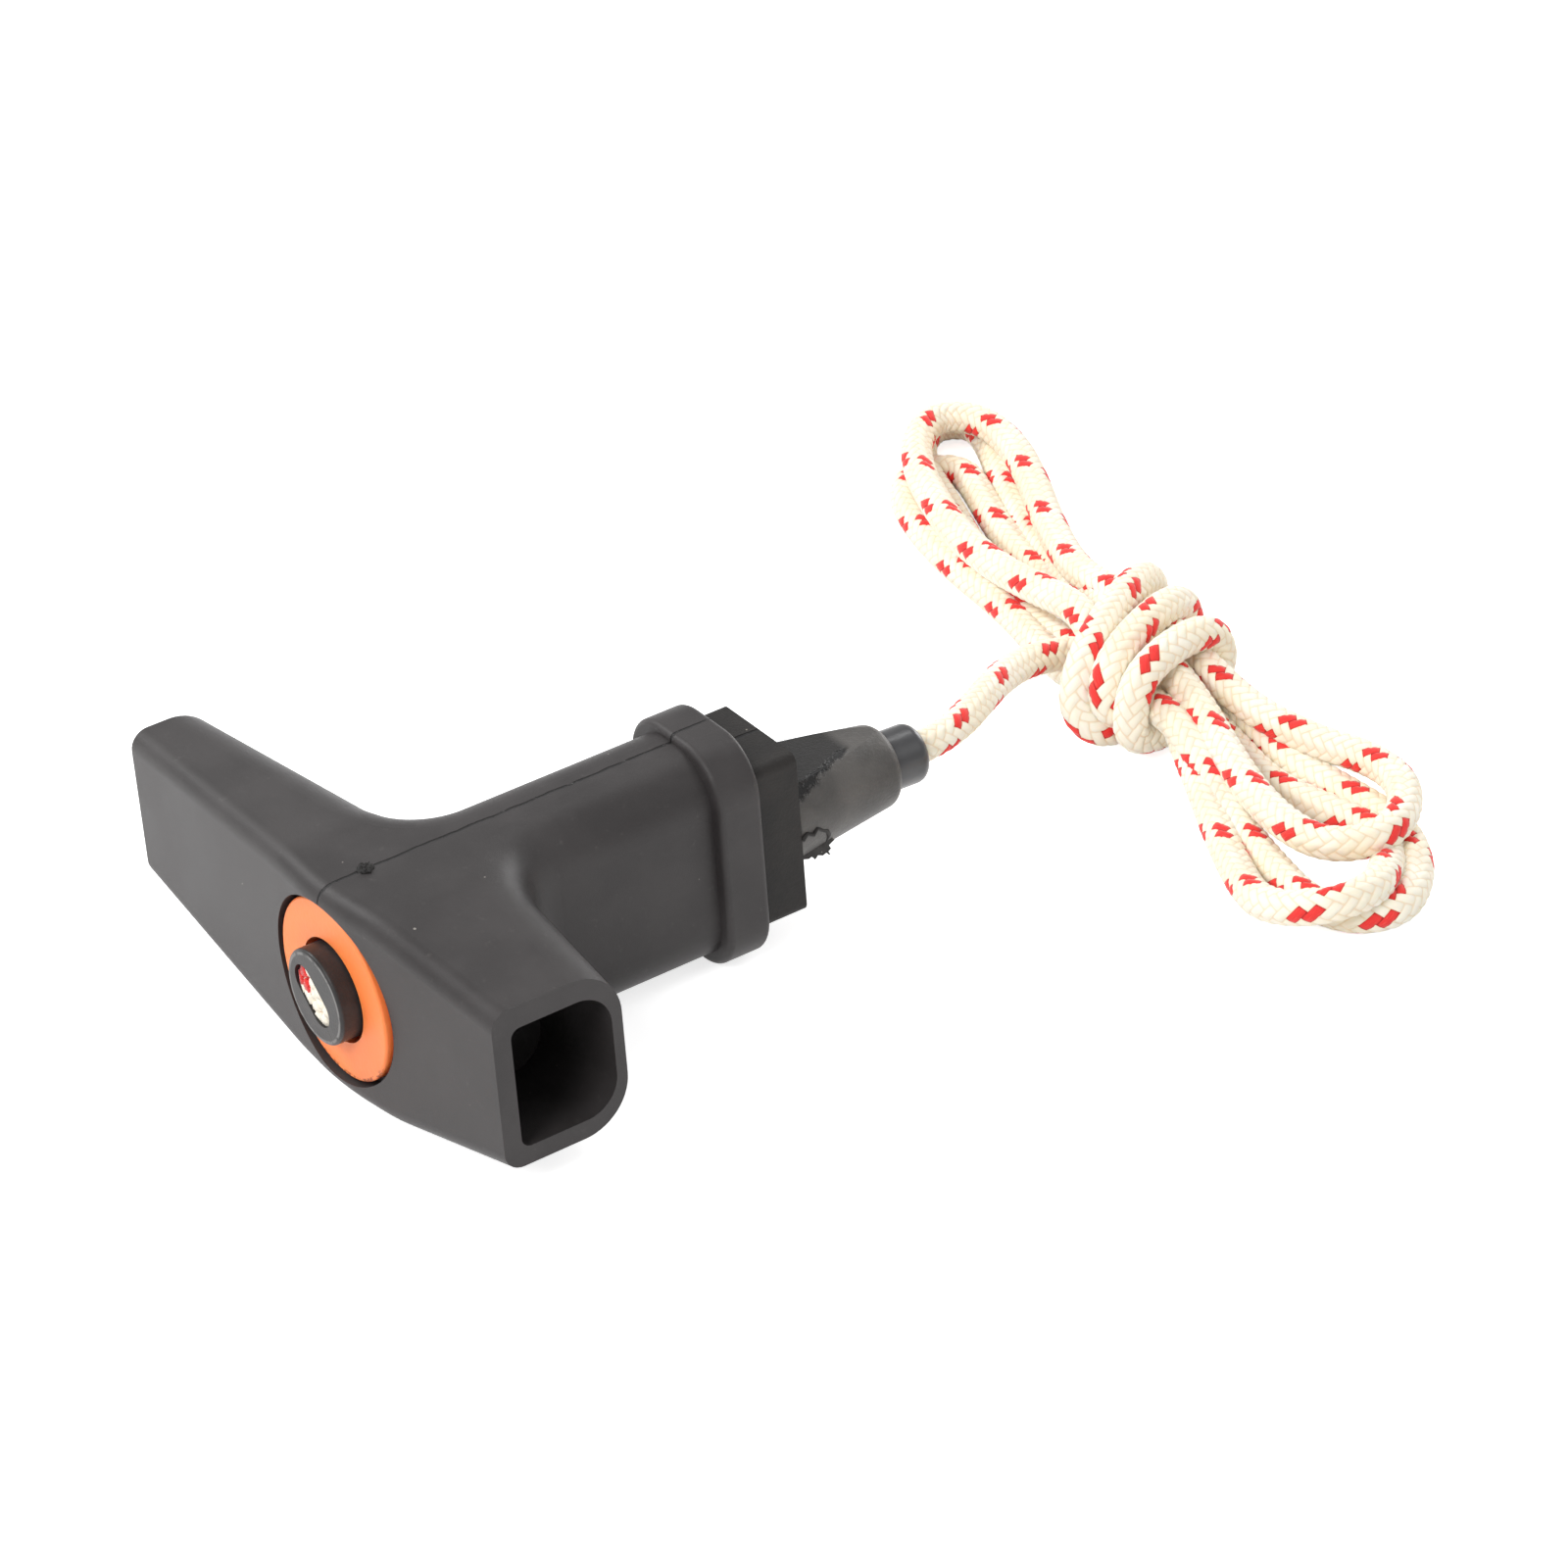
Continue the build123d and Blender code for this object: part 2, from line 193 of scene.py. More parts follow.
# Through the bundle's left side, round the lower lobe's bottom loop and back
LOWER_FIRST = [
    (93.8, -2.5, 6.8), (91.5, -12.0, 6.4), (88.0, -19.5, 5.6), (84.0, -28.5, 4.2), (79.3, -38.5, 2.9),
    (74.3, -49.5, 2.9), (70.9, -58.6, 4.6), (74.5, -67.0, 6.9), (83.0, -67.5, 6.7), (89.6, -62.0, 4.6),
    (94.8, -56.4, 2.6), (96.6, -49.6, 2.45), (95.0, -43.6, 2.45), (93.4, -38.0, 2.6), (92.8, -31.0, 2.9),
    (93.5, -23.0, 4.4), (94.5, -13.0, 6.1), (96.0, -2.0, 6.0), (98.0, 8.0, 5.2),
]
# Upper lobe: the loop whose left strand lies lowest
UPPER_FIRST = [
    (100.4, 17.0, 4.4), (102.3, 26.5, 3.4), (103.6, 36.4, 2.6), (105.6, 45.7, 2.45), (108.2, 53.9, 2.45),
    (111.2, 61.7, 2.45), (113.4, 68.4, 2.45), (110.6, 72.0, 2.45), (105.4, 72.2, 2.45),
    (101.2, 67.2, 2.45), (98.5, 60.0, 2.45), (96.5, 52.0, 2.45), (95.2, 43.4, 2.45), (94.3, 34.2, 2.45),
    (93.0, 25.8, 2.45), (90.6, 17.8, 2.9), (88.4, 8.0, 3.8), (88.3, -2.0, 5.6), (88.6, -11.0, 7.8),
]
# Lower lobe: the loop that reaches furthest
LOWER_SECOND = [
    (87.5, -20.0, 8.4), (85.0, -30.0, 4.8), (82.0, -40.5, 2.7), (79.8, -50.0, 2.45), (78.2, -58.5, 2.45),
    (80.2, -65.8, 2.45), (86.2, -68.6, 2.45), (92.6, -65.0, 2.45), (97.6, -58.0, 2.45),
    (100.0, -50.8, 2.45), (99.4, -42.4, 2.8), (98.0, -32.6, 3.4), (97.9, -22.0, 4.6), (98.6, -11.0, 6.0),
    (97.8, -1.0, 5.4), (95.4, 8.0, 3.8),
]
# Upper lobe: the loop under the outer one
UPPER_SECOND = [
    (93.9, 17.0, 3.0), (94.6, 26.2, 2.5), (96.0, 35.4, 2.45), (99.0, 44.6, 2.45), (102.5, 54.3, 2.45),
    (106.2, 64.6, 2.45), (109.6, 74.2, 2.45), (113.8, 80.7, 2.45), (119.3, 83.8, 2.45),
    (124.0, 79.6, 2.45), (120.4, 70.2, 2.45), (115.4, 60.3, 2.45), (110.9, 50.2, 2.45),
    (107.2, 40.0, 2.8), (103.8, 29.2, 4.6), (100.8, 17.5, 8.0), (97.5, 6.0, 10.2), (94.5, -5.0, 10.8),
    (91.8, -17.0, 9.8),
]
# Lower lobe: the top loop
LOWER_THIRD = [
    (88.5, -28.0, 7.8), (85.4, -38.0, 7.1), (83.6, -47.6, 7.0), (84.6, -55.4, 7.0), (90.8, -59.0, 7.2),
    (97.8, -56.2, 7.2), (102.8, -49.8, 7.2), (103.4, -41.6, 7.1), (100.2, -33.0, 7.0), (97.9, -22.0, 8.0),
    (98.4, -11.0, 9.9), (100.0, 1.0, 11.0), (101.0, 11.5, 10.6),
]
# Upper lobe: the outer loop, on top, which ends inside the knot
UPPER_THIRD = [
    (101.6, 21.6, 8.8), (105.0, 31.4, 7.5), (109.6, 41.8, 7.2), (114.8, 52.2, 7.2), (119.4, 63.4, 7.2),
    (120.6, 74.0, 7.2), (115.2, 78.8, 7.2), (108.3, 74.0, 7.2), (103.4, 66.0, 7.2), (99.8, 57.0, 7.2),
    (97.2, 48.7, 7.2), (95.4, 39.2, 7.3), (94.6, 29.7, 8.0), (94.4, 21.0, 9.2), (94.2, 13.5, 10.2),
    (92.5, 7.0, 9.4), (89.6, 1.5, 6.6), (90.0, -4.0, 3.6), (94.2, -5.6, 2.5), (98.2, -1.0, 2.45),
    (102.0, 5.5, 2.6), (105.8, 10.8, 4.2),
]
# Three turns of rope round the middle of the hank: where each half turn starts, the height it
# rises or drops to, and how far it swings aside on the way
WRAP_ENDS = [
    (106.5, 11.6, 8.6), (79.5, -5.3, 7.8), (105.5, 2.2, 8.9), (82.4, -8.2, 9.4),
    (103.3, -8.3, 8.6), (83.3, -13.0, 7.4), (97.0, -12.5, 5.0),
]
WRAP_PEAKS = [15.2, 2.45, 15.2, 5.4, 15.2, 3.2]
WRAP_SWINGS = [0.0, -4.0, 0.0, -0.5, 0.0, 0.5]
WRAP_SQUARENESS = 0.8
HALF_TURN_POINTS = 6
# The free end, tucked back between the strands
TUCK = [
    (99.8, -12.2, 4.8), (101.0, -7.5, 5.8), (99.0, -2.0, 7.4), (95.0, 3.0, 8.6),
]


def linear(red, green, blue):
    """A screen colour, 0 to 255, as the linear colour that a shader takes."""
    values = []
    for level in (red, green, blue):
        share = level / 255
        values.append(share / 12.92 if share <= 0.04045 else ((share + 0.055) / 1.055) ** 2.4)
    return (*values, 1.0)


ROPE_CREAM = linear(250, 238, 214)
ROPE_PALE = linear(253, 246, 230)
# Painted shade: the warm tan of the creases between the cream yarns
ROPE_CREASE_SHADE = linear(236, 204, 158)
RED = linear(236, 58, 54)
# Painted shade: the dark red of the creases between the red yarns
RED_CREASE_SHADE = linear(176, 20, 22)
RED_FADED = linear(250, 120, 104)

# How strongly black plastic and rubber mirror the white around them
BLACK_SHINE = 0.3
BUSH_SHINE = 0.6


class Shader:
    """A material's node tree, with short calls for the nodes it is made of."""

    def __init__(self, name):
        self.material = bpy.data.materials.new(name)
        self.material.use_nodes = True
        self.nodes = self.material.node_tree.nodes
        self.links = self.material.node_tree.links
        self.surface = self.nodes["Principled BSDF"]
        self.output = self.nodes["Material Output"]

    def put(self, socket, value):
        if isinstance(value, bpy.types.NodeSocket):
            self.links.new(value, socket)
        else:
            socket.default_value = value

    def node(self, kind, **settings):
        made = self.nodes.new(kind)
        for key, value in settings.items():
            setattr(made, key, value)
        return made

    def math(self, operation, first, second=0.0, third=0.0):
        made = self.node("ShaderNodeMath", operation=operation)
        self.put(made.inputs[0], first)
        self.put(made.inputs[1], second)
        self.put(made.inputs[2], third)
        return made.outputs[0]

    def step(self, value, low, high):
        """0 below low, 1 above high, smooth between."""
        made = self.node("ShaderNodeMapRange", interpolation_type="SMOOTHSTEP")
        self.put(made.inputs["Value"], value)
        self.put(made.inputs["From Min"], low)
        self.put(made.inputs["From Max"], high)
        return made.outputs["Result"]

    def rest(self, share):
        """What a share leaves of 1."""
        return self.math("SUBTRACT", 1.0, share)

    def band(self, value, middle, core, edge):
        """1 within core of the middle, 0 past edge, smooth between."""
        aside = self.math("ABSOLUTE", self.math("SUBTRACT", value, middle))
        return self.rest(self.step(aside, core, edge))

    def overlap(self, first, *others):
        """Where all of some shares are: their product."""
        for share in others:
            first = self.math("MULTIPLY", first, share)
        return first

    def place(self):
        """The point's x, y and z on the part, in millimetres."""
        coordinates = self.node("ShaderNodeTexCoord").outputs["Object"]
        scaled = self.node("ShaderNodeVectorMath", operation="SCALE")
        self.put(scaled.inputs[0], coordinates)
        self.put(scaled.inputs["Scale"], 1 / MM)
        split = self.node("ShaderNodeSeparateXYZ")
        self.put(split.inputs[0], scaled.outputs[0])
        return scaled.outputs[0], split.outputs

    def vector(self, x, y, z):
        made = self.node("ShaderNodeCombineXYZ")
        for socket, value in zip(made.inputs, (x, y, z)):
            self.put(socket, value)
        return made.outputs[0]

    def noise(self, vector, scale, detail=2.0, rough=0.5):
        made = self.node("ShaderNodeTexNoise")
        self.put(made.inputs["Vector"], vector)
        self.put(made.inputs["Scale"], scale)
        self.put(made.inputs["Detail"], detail)
        self.put(made.inputs["Roughness"], rough)
        return made.outputs["Fac"]

    def patches(self, vector, scale, low, high, detail=3.0, rough=0.5):
        """Scattered patches: 1 where a noise is above high, 0 below low, smooth between."""
        return self.step(self.noise(vector, scale, detail, rough), low, high)

    def sway(self, vector, scale, detail=2.0, rough=0.5):
        """Noise to either side of 0."""
        return self.math("SUBTRACT", self.noise(vector, scale, detail, rough), 0.5)

    def cells(self, vector, scale):
        """Distance to the nearest of scattered points, and that point's colour."""
        made = self.node("ShaderNodeTexVoronoi")
        self.put(made.inputs["Vector"], vector)
        self.put(made.inputs["Scale"], scale)
        return made.outputs["Distance"], made.outputs["Color"]

    def specks(self, vector, scale, size, share):
        """Where a scattered few small specks of dust lie."""
        distance, colour = self.cells(vector, scale)
        split = self.node("ShaderNodeSeparateColor")
        self.put(split.inputs[0], colour)
        chosen = self.math("GREATER_THAN", split.outputs[0], 1 - share)
        near = self.math("LESS_THAN", distance, self.math("MULTIPLY", split.outputs[1], size))
        return self.overlap(chosen, near)

    def spot(self, place, centre, size):
        """1 within a ragged spot round a point, in millimetres, and 0 outside."""
        apart = self.node("ShaderNodeVectorMath", operation="DISTANCE")
        self.put(apart.inputs[0], place)
        self.put(apart.inputs[1], centre)
        rough = self.math("MULTIPLY", self.noise(place, 1.8, 3.0), size)
        return self.math("LESS_THAN", self.math("ADD", apart.outputs["Value"], rough), size * 1.2)

    def radius(self, y, z):
        """Distance from the rope's axis, in millimetres."""
        aside = self.math("SUBTRACT", y, AXIS_Y)
        up = self.math("SUBTRACT", z, AXIS_Z)
        return self.math("SQRT", self.math("MULTIPLY_ADD", aside, aside, self.math("MULTIPLY", up, up)))

    def blend(self, share, first, second):
        """A number between two others."""
        made = self.node("ShaderNodeMix", data_type="FLOAT")
        self.put(made.inputs[0], share)
        self.put(made.inputs[2], first)
        self.put(made.inputs[3], second)
        return made.outputs[0]

    def hump(self, part, steepness):
        """A bulge over parts from 0 to 1: 1 in the middle and 0 at both ends."""
        aside = self.math("ABSOLUTE", self.math("MULTIPLY_ADD", part, 2.0, -1.0))
        return self.rest(self.math("POWER", aside, steepness))

    def mix(self, share, first, second):
        """A colour between two others."""
        made = self.node("ShaderNodeMix", data_type="RGBA")
        self.put(made.inputs["Factor"], share)
        self.put(made.inputs["A"], first)
        self.put(made.inputs["B"], second)
        return made.outputs["Result"]

    def paint(self, colour, where, strength, over):
        """A colour with another laid over it, at a strength, in some places."""
        return self.mix(self.math("MULTIPLY", where, strength), colour, over)

    def bump(self, height, distance, strength=1.0, before=None):
        made = self.node("ShaderNodeBump")
        self.put(made.inputs["Height"], height)
        made.inputs["Distance"].default_value = distance * MM
        made.inputs["Strength"].default_value = strength
        if before is not None:
            self.put(made.inputs["Normal"], before)
        return made.outputs["Normal"]

    def finish(self, **values):
        for key, value in values.items():
            self.put(self.surface.inputs[key.replace("_", " ")], value)
        return self.material


def mould_seam(shader, place, y, z, bottom):
    """Where the mould's halves met: a thin, wandering, broken line above a height."""
    middle = shader.math("MULTIPLY_ADD", shader.sway(place, 0.35, 3.0), 0.7, AXIS_Y)
    line = shader.band(y, middle, 0.08, 0.3)
    above = shader.math("GREATER_THAN", z, bottom)
    unbroken = shader.patches(place, 0.8, 0.25, 0.42, detail=2.0)
    return shader.overlap(line, above, unbroken)


def moulded(name, dark, pale, rough, grain, dust=0.02, seam=None, shine=BLACK_SHINE):
    """Black moulded plastic or rubber: fine grain, faint clouding, dust, and the mould's seam."""
    shader = Shader(name)
    place, (x, y, z) = shader.place()
    cloud = shader.patches(place, 0.09, 0.35, 0.7)
    colour = shader.mix(cloud, dark, pale)
    scuff = shader.patches(place, 0.55, 0.6, 0.8, detail=4.0, rough=0.7)
    colour = shader.paint(colour, scuff, 0.2, linear(112, 108, 106))
    large = shader.specks(place, 0.42, 0.09, dust)
    small = shader.specks(place, 0.8, 0.1, dust * 1.5)
    colour = shader.paint(colour, shader.math("MAXIMUM", large, small), 0.55, linear(176, 170, 162))
    normal = shader.bump(shader.noise(place, grain, 3.0, 0.65), 0.06, 0.5)
    if seam is not None:
        line = mould_seam(shader, place, y, z, seam)
        colour = shader.paint(colour, line, 0.95, linear(16, 15, 15))
        normal = shader.bump(line, -0.25, 1.0, normal)
    roughness = shader.math("MULTIPLY_ADD", cloud, 0.06, rough)
    return shader.finish(
        Base_Color=colour, Roughness=roughness, Normal=normal, Specular_IOR_Level=shine,
    )


def nose_finish():
    """Soft black rubber, painted paler on the cone for the light its rounded form catches, with a torn
    skin along the cone's flat top.
    """
    shader = Shader("nose_black")
    place, (x, y, z) = shader.place()
    cloud = shader.patches(place, 0.16, 0.3, 0.7)
    block = shader.mix(cloud, linear(26, 24, 23), linear(36, 33, 31))
    # Painted light: the cone is made paler than the block, for the light its rounded form catches
    cone = shader.mix(cloud, linear(70, 68, 66), linear(90, 87, 84))
    along = shader.math("SUBTRACT", x, NOSE_BASE)
    on_cone = shader.step(along, 0.0, 0.6)
    # The flat top's skin is darker, and its edge toward the front left is torn
    ragged = shader.math("MULTIPLY", shader.sway(place, 0.6, 4.0, 0.7), SKIN_RAGGED)
    edge = shader.math("MULTIPLY_ADD", along, SKIN_SLANT, AXIS_Y + SKIN_START)
    past = shader.math("SUBTRACT", y, shader.math("ADD", edge, ragged))
    on_flat = shader.step(z, AXIS_Z + SKIN_FLAT[0], AXIS_Z + SKIN_FLAT[1])
    skin = shader.overlap(
        shader.step(past, -0.1, 0.35), on_flat, shader.rest(shader.step(along, *SKIN_FADE)),
    )
    cone = shader.mix(skin, cone, linear(26, 24, 23))
    tear = shader.overlap(
        shader.band(past, 0.4, 0.2, 0.8), on_flat, on_cone, shader.rest(shader.step(along, *TEAR_FADE)),
    )
    cone = shader.mix(tear, cone, linear(14, 13, 13))
    colour = shader.mix(on_cone, block, cone)
    middle = shader.math("MULTIPLY_ADD", ragged, 0.25, AXIS_Y)
    seam = shader.overlap(
        shader.band(y, middle, 0.1, 0.4),
        shader.math("LESS_THAN", along, 0.0),
        shader.math("GREATER_THAN", z, AXIS_Z + BLOCK_SEAM_HEIGHT),
    )
    colour = shader.paint(colour, seam, 0.9, linear(12, 12, 12))
    colour = shader.paint(colour, shader.specks(place, 0.6, 0.1, 0.06), 0.6, linear(176, 168, 156))
    normal = shader.bump(shader.noise(place, 2.2, 4.0, 0.65), 0.16, 0.6)
    normal = shader.bump(shader.math("MAXIMUM", tear, seam), -0.4, 1.0, normal)
    return shader.finish(
        Base_Color=colour, Roughness=shader.blend(on_cone, 0.62, 0.42), Normal=normal,
        Specular_IOR_Level=BLACK_SHINE,
    )


def plug_finish():
    """Dark moulded plug: a paler line painted round its face as the highlight on its rounded edge, and a
    fine crack under the rope.
    """
    shader = Shader("anchor_black")
    place, (x, y, z) = shader.place()
    cloud = shader.patches(place, 0.2, 0.35, 0.7)
    colour = shader.mix(cloud, linear(38, 37, 37), linear(52, 50, 50))
    on_face = shader.math("LESS_THAN", x, FRONT_X - 1.2)
    # Painted highlight: a paler, broken line just inside the face's edge, where the rounded edge catches
    # the light
    painted_edge_highlight = shader.overlap(
        shader.band(shader.radius(y, z), PLUG_RADIUS - PLUG_HIGHLIGHT_INSET, 0.08, 0.3),
        shader.patches(place, 0.9, 0.3, 0.55),
        on_face,
    )
    colour = shader.paint(colour, painted_edge_highlight, 0.55, linear(138, 136, 134))
    aside = shader.math("SUBTRACT", y, AXIS_Y + PLUG_CRACK[0])
    up = shader.math("SUBTRACT", z, AXIS_Z + PLUG_CRACK[1])
    slant = shader.math("MULTIPLY_ADD", up, PLUG_CRACK_SLANT, aside)
    slant = shader.math("MULTIPLY_ADD", shader.sway(place, 1.0, 2.0), 0.5, slant)
    crack = shader.overlap(
        shader.math("LESS_THAN", shader.math("ABSOLUTE", slant), 0.07),
        shader.math("LESS_THAN", z, AXIS_Z + PLUG_CRACK_TOP),
        on_face,
    )
    colour = shader.paint(colour, crack, 0.85, linear(12, 12, 12))
    colour = shader.paint(colour, shader.specks(place, 0.9, 0.1, 0.04), 0.5, linear(170, 165, 158))
    normal = shader.bump(shader.noise(place, 3.0, 3.0), 0.06, 0.5)
    normal = shader.bump(crack, -0.15, 1.0, normal)
    return shader.finish(
        Base_Color=colour, Roughness=0.42, Normal=normal, Specular_IOR_Level=BLACK_SHINE,
    )


def ring_finish():
    """Orange moulded ring, painted deeper orange-red down its bore for the light that shines through the
    translucent plastic there, with torn flash and nicks on its rim.
    """
    shader = Shader("orange_ring")
    place, (x, y, z) = shader.place()
    # Painted light: the colour turns deeper orange-red down the bore, for the light that shines through
    # the translucent plastic there
    bore_painted_light = shader.step(x, FRONT_X + 1.2, FRONT_X + 3.5)
    colour = shader.mix(bore_painted_light, linear(255, 134, 66), linear(255, 84, 32))
    cloud = shader.patches(place, 0.2, 0.4, 0.7)
    colour = shader.paint(colour, cloud, 0.3, linear(250, 128, 70))
    colour = shader.paint(colour, shader.specks(place, 0.5, 0.12, 0.12), 0.7, linear(196, 64, 30))
    inner, outer = (RING_RADIUS - inset for inset in RING_FLASH)
    torn = shader.overlap(
        shader.step(shader.radius(y, z), inner, outer),
        shader.step(shader.math("SUBTRACT", AXIS_Z + RING_FLASH_TOP, z), 0.0, 3.0),
        shader.patches(place, 1.1, 0.5, 0.6, detail=4.0, rough=0.7),
    )
    apex = Vector((FRONT_X, AXIS_Y, AXIS_Z))
    for offset, size in RING_NICKS:
        torn = shader.math("MAXIMUM", torn, shader.spot(place, apex + Vector(offset), size))
    colour = shader.paint(colour, torn, 0.75, linear(120, 40, 20))
    normal = shader.bump(shader.noise(place, 1.4, 3.0), 0.12, 0.5)
    normal = shader.bump(torn, -0.2, 1.0, normal)
    return shader.finish(
        Base_Color=colour, Roughness=0.5, Normal=normal, Subsurface_Weight=0.2,
        Subsurface_Radius=(1.0, 0.4, 0.15), Subsurface_Scale=0.0015,
    )


def rope_finish():
    """Braided cream yarns that cross two over, two under, with a pair of red ones among them, and shade
    painted into the creases between the yarns.
    """
    shader = Shader("braided_rope")
    split = shader.node("ShaderNodeSeparateXYZ")
    shader.put(split.inputs[0], shader.node("ShaderNodeUVMap", uv_map="braid").outputs[0])
    turn = shader.math("MULTIPLY", split.outputs[0], YARNS)
    falling = shader.math("ADD", turn, split.outputs[1])
    rising = shader.math("SUBTRACT", turn, split.outputs[1])
    falling_yarn = shader.math("FLOOR", falling)
    rising_yarn = shader.math("FLOOR", rising)
    falling_part = shader.math("SUBTRACT", falling, falling_yarn)
    rising_part = shader.math("SUBTRACT", rising, rising_yarn)
    order = shader.math("FLOORED_MODULO", shader.math("ADD", falling_yarn, rising_yarn), 4.0)
    falling_top = shader.math("LESS_THAN", order, 1.5)
    under = shader.math("ADD", shader.math("SUBTRACT", order, 2.0), falling_part)
    over = shader.math("ADD", order, rising_part)
    along = shader.math("MULTIPLY", shader.blend(falling_top, under, over), 0.5)
    across = shader.blend(falling_top, rising_part, falling_part)
    hump = shader.math("MULTIPLY", shader.hump(across, 2.5), shader.hump(along, 4.0))
    dyed_yarn = shader.math("LESS_THAN", shader.math("FLOORED_MODULO", falling_yarn, YARNS), 1.5)
    # Filaments lie along each yarn
    fibre_place = shader.vector(
        shader.math("MULTIPLY", across, 7.0),
        shader.math("MULTIPLY", along, 1.2),
        shader.math("MULTIPLY_ADD", falling_yarn, 3.7, rising_yarn),
    )
    filament = shader.noise(fibre_place, 1.5, 2.0)
    place, axes = shader.place()
    cream = shader.mix(shader.patches(place, 0.12, 0.3, 0.7, detail=2.0), ROPE_CREAM, ROPE_PALE)
    # Painted shade: the cream turns tan in the creases between the yarns
    cream = shader.paint(cream, shader.rest(shader.step(hump, 0.0, 0.5)), 0.5, ROPE_CREASE_SHADE)
    # Painted shade: the red yarns turn dark red in their creases
    dyed = shader.mix(shader.step(hump, 0.0, 0.4), RED_CREASE_SHADE, RED)
    dyed = shader.paint(dyed, shader.step(filament, 0.5, 0.75), 0.25, RED_FADED)
    colour = shader.mix(shader.overlap(dyed_yarn, falling_top), cream, dyed)
    normal = shader.bump(shader.math("MULTIPLY_ADD", filament, 0.14, hump), 0.26, 0.6)
    return shader.finish(
        Base_Color=colour, Roughness=0.75, Normal=normal, Sheen_Weight=0.25, Sheen_Roughness=0.4,
        Specular_IOR_Level=0.3, Subsurface_Weight=0.25, Subsurface_Radius=(0.6, 0.45, 0.3),
        Subsurface_Scale=0.001,
    )


def yarn_finish(name, dark, pale):
    """Loose ends of yarn: fine filaments lengthwise."""
    shader = Shader(name)
    place, (x, y, z) = shader.place()
    drawn = shader.vector(
        shader.math("MULTIPLY", x, 0.4), shader.math("MULTIPLY", y, 3.0), shader.math("MULTIPLY", z, 3.0),
    )
    strands = shader.noise(drawn, 2.0, 3.0)
    colour = shader.mix(shader.step(strands, 0.3, 0.6), dark, pale)
    return shader.finish(
        Base_Color=colour, Roughness=0.85, Normal=shader.bump(strands, 0.15, 0.8), Sheen_Weight=0.3,
        Specular_IOR_Level=0.2,
    )


def set_finish(piece, material):
    piece.data.materials.clear()
    piece.data.materials.append(material)


def add_mesh(name, vertices, faces):
    mesh = bpy.data.meshes.new(name)
    mesh.from_pydata([tuple(vertex) for vertex in vertices], [], faces)
    mesh.polygons.foreach_set("use_smooth", [True] * len(mesh.polygons))
    made = bpy.data.objects.new(name, mesh)
    bpy.context.collection.objects.link(made)
    return made


def add_piece(name, vertices, faces, body, slot, material):
    piece = add_mesh(name, vertices, faces)
    set_finish(piece, material)
    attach(piece, body)
    return piece


def tube_faces(first, rings, sides):
    """The walls and the two ends of a tube of rings of vertices, the first of them numbered first."""
    faces = []
    for ring in range(rings - 1):
        low = first + ring * sides
        high = low + sides
        for k in range(sides):
            after = (k + 1) % sides
            faces.append((low + k, low + after, high + after, high + k))
    last = first + (rings - 1) * sides
    faces.append(tuple(first + k for k in reversed(range(sides))))
    faces.append(tuple(last + k for k in range(sides)))
    return faces


def directions(line):
    """The unit direction of a line at each of its points."""
    tangents = np.gradient(line, axis=0)
    return tangents / np.linalg.norm(tangents, axis=1)[:, None]


def add_tube(vertices, faces, line, radii, sides):
    """A closed tube along a few points, added to the lists of vertices and faces."""
    line = np.array(line)
    faces.extend(tube_faces(len(vertices), len(line), sides))
    for point, tangent, radius in zip(line, directions(line), radii):
        side = np.cross(tangent, (0.0, 0.3, 1.0))
        side /= np.linalg.norm(side)
        up = np.cross(tangent, side)
        for k in range(sides):
            angle = 2 * np.pi * k / sides
            vertices.append(point + radius * (np.cos(angle) * side + np.sin(angle) * up))


def wrap_route():
    """The turns round the hank: half turns over the top and underneath, in turn."""
    points = []
    halves = zip(WRAP_ENDS, WRAP_ENDS[1:], WRAP_PEAKS, WRAP_SWINGS)
    for (x0, y0, z0), (x1, y1, z1), peak, swing in halves:
        for index in range(HALF_TURN_POINTS):
            angle = math.pi * index / HALF_TURN_POINTS
            level = math.cos(angle)
            share = (1 - math.copysign(abs(level) ** WRAP_SQUARENESS, level)) / 2
            rise = math.sin(angle) ** WRAP_SQUARENESS
            base = z0 + (z1 - z0) * share
            points.append((
                x0 + (x1 - x0) * share,
                y0 + (y1 - y0) * share + swing * rise,
                base + (peak - base) * rise,
            ))
    return points


def smooth_line(route):
    """Points of the route's own NURBS spline, evenly spaced, and its length, in metres."""
    curve = bpy.data.curves.new("rope_route", "CURVE")
    curve.dimensions = "3D"
    spline = curve.splines.new("NURBS")
    spline.points.add(len(route) - 1)
    for point, (x, y, z) in zip(spline.points, route):
        point.co = (x * MM, y * MM, z * MM, 1.0)
    spline.order_u = 3
    spline.use_endpoint_u = True
    spline.resolution_u = CURVE_RESOLUTION
    carrier = bpy.data.objects.new("rope_route", curve)
    bpy.context.collection.objects.link(carrier)
    mesh = bpy.data.meshes.new_from_object(carrier)
    line = np.array([vertex.co[:] for vertex in mesh.vertices])
    bpy.data.objects.remove(carrier)
    bpy.data.meshes.remove(mesh)
    bpy.data.curves.remove(curve)
    runs = np.linalg.norm(np.diff(line, axis=0), axis=1)
    reach = np.concatenate([[0.0], np.cumsum(runs)])
    length = reach[-1]
    marks = np.linspace(0.0, length, int(length / (ROPE_STEP * MM)) + 1)
    return np.stack([np.interp(marks, reach, axis) for axis in line.T], axis=1), length


